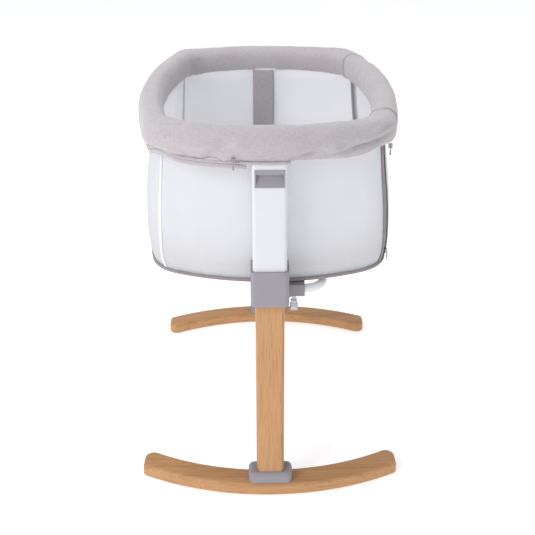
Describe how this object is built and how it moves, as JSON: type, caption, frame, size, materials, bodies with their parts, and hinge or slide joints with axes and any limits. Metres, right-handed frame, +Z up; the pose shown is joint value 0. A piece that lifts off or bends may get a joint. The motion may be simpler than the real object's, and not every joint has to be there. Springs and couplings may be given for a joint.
{
  "type": "bassinet on stand",
  "caption": "Bedside bassinet: oval mesh basket with a padded rim and a fold-down side, on two height-adjustable beech legs with bowed flat feet.",
  "frame": {"origin": "on the floor, midway between the two legs, under the middle of the basket", "axes": "+Z up, +Y along the basket from the front end to the rear end, +X towards the side that folds down"},
  "size_m": [0.6, 0.9442, 0.862],
  "materials": {
    "rim_fabric": "matte",
    "mesh_fabric": "matte",
    "grey_trim": "matte",
    "floor_cloth": "matte",
    "mattress_cloth": "matte",
    "fibreboard": "matte",
    "white_plastic": "satin",
    "grey_plastic": "satin",
    "black_plastic": "satin",
    "beech": "satin",
    "steel": "satin",
    "white_tube": "satin",
    "grey_tube": "satin",
    "pull_metal": "satin",
    "clear_plastic": "gloss",
    "rubber_pad": "matte"
  },
  "bodies": {
    "basket": {"base_board": "fibreboard", "corner_zip_tapes": "grey_trim", "floor_fabric": "floor_cloth", "front_bracket_screws": "steel", "front_collar": "grey_plastic", "front_column": "white_plastic", "front_frame_bracket": "grey_plastic", "front_guide_bush": "black_plastic", "front_latch_bezel": "grey_plastic", "front_latch_guide": "steel", "front_mesh_wall": "mesh_fabric", "front_trigger_spring": "steel", "front_tube_saddle": "black_plastic", "hem_piping": "grey_trim", "left_mesh_wall": "mesh_fabric", "lower_frame_tube": "grey_tube", "rail_sockets": "black_plastic", "rear_bracket_screws": "steel", "rear_collar": "grey_plastic", "rear_column": "white_plastic", "rear_frame_bracket": "grey_plastic", "rear_guide_bush": "black_plastic", "rear_latch_bezel": "grey_plastic", "rear_latch_guide": "steel", "rear_mesh_wall": "mesh_fabric", "rear_trigger_spring": "steel", "rear_tube_saddle": "black_plastic", "rim_pad": "rim_fabric", "rim_tube": "grey_tube", "stretcher_tube": "white_tube", "wall_straps": "grey_trim"},
    "front_stand": {"front_leg": "beech", "front_foot": "beech", "front_boot": "grey_plastic", "front_foot_bolts": "steel", "front_foot_pads": "rubber_pad", "front_height_rack": "steel", "front_leg_glide": "black_plastic"},
    "front_trigger": {"front_release_trigger": "grey_plastic"},
    "front_latch": {"front_latch_bolt": "steel"},
    "rear_stand": {"rear_leg": "beech", "rear_foot": "beech", "rear_boot": "grey_plastic", "rear_foot_bolts": "steel", "rear_foot_pads": "rubber_pad", "rear_height_rack": "steel", "rear_leg_glide": "black_plastic"},
    "rear_trigger": {"rear_release_trigger": "grey_plastic"},
    "rear_latch": {"rear_latch_bolt": "steel"},
    "drop_side": {"drop_rail_tube": "grey_tube", "drop_rail_pad": "rim_fabric", "drop_side_mesh": "mesh_fabric", "drop_zip_tapes": "grey_trim", "rail_tongues": "black_plastic"},
    "mattress_body": {"mattress": "mattress_cloth"},
    "rim_zip_pull_body": {"rim_zip_pull": "pull_metal"},
    "side_zip_pull_body": {"side_zip_pull": "pull_metal"},
    "wall_zip_pull_body": {"wall_zip_pull": "pull_metal"},
    "buckle_body": {"strap_buckle": "clear_plastic"}
  },
  "joints": [
    {"name": "front_leg_slide", "type": "slide", "parent": "basket", "child": "front_stand", "axis": [0, 0, 1], "range_m": [0, 0.125]},
    {"name": "front_trigger_lift", "type": "slide", "parent": "basket", "child": "front_trigger", "axis": [0, 0, 1], "range_m": [0, 0.0035], "stiffness_N_per_m": 1500, "springref_m": -0.002, "deforming": ["front_trigger_spring"]},
    {"name": "front_latch_draw", "type": "slide", "parent": "basket", "child": "front_latch", "axis": [0, -1, 0], "range_m": [0, 0.0035]},
    {"name": "rear_leg_slide", "type": "slide", "parent": "basket", "child": "rear_stand", "axis": [0, 0, 1], "range_m": [0, 0.125]},
    {"name": "rear_trigger_lift", "type": "slide", "parent": "basket", "child": "rear_trigger", "axis": [0, 0, 1], "range_m": [0, 0.0035], "stiffness_N_per_m": 1500, "springref_m": -0.002, "deforming": ["rear_trigger_spring"]},
    {"name": "rear_latch_draw", "type": "slide", "parent": "basket", "child": "rear_latch", "axis": [0, 1, 0], "range_m": [0, 0.0035]},
    {"name": "side_fold", "type": "hinge", "parent": "basket", "child": "drop_side", "pos_m": [0.283, 0, 0.514], "axis": [0, 1, 0], "range_deg": [0, 170]},
    {"name": "mattress_lift", "type": "slide", "parent": "basket", "child": "mattress_body", "axis": [0, 0, 1], "range_m": [0, 0.4]},
    {"name": "rim_pull_swing", "type": "hinge", "parent": "basket", "child": "rim_zip_pull_body", "pos_m": [-0.071, -0.4711, 0.798], "axis": [1, 0, 0], "range_deg": [-60, 25]},
    {"name": "side_pull_swing", "type": "hinge", "parent": "basket", "child": "side_zip_pull_body", "pos_m": [0.246, -0.3836, 0.8], "axis": [1, 0, 0], "range_deg": [-60, 0]},
    {"name": "wall_pull_swing", "type": "hinge", "parent": "basket", "child": "wall_zip_pull_body", "pos_m": [0.262, -0.306, 0.54], "axis": [0, 1, 0], "range_deg": [-70, 0]},
    {"name": "buckle_swing", "type": "hinge", "parent": "basket", "child": "buckle_body", "pos_m": [0.052, -0.4055, 0.4801], "axis": [1, 0, 0], "range_deg": [-20, 20]}
  ],
  "couplings": [
    {"joint": "front_latch_draw", "follows": "front_trigger_lift", "ratio": 1},
    {"joint": "rear_latch_draw", "follows": "rear_trigger_lift", "ratio": 1}
  ]
}
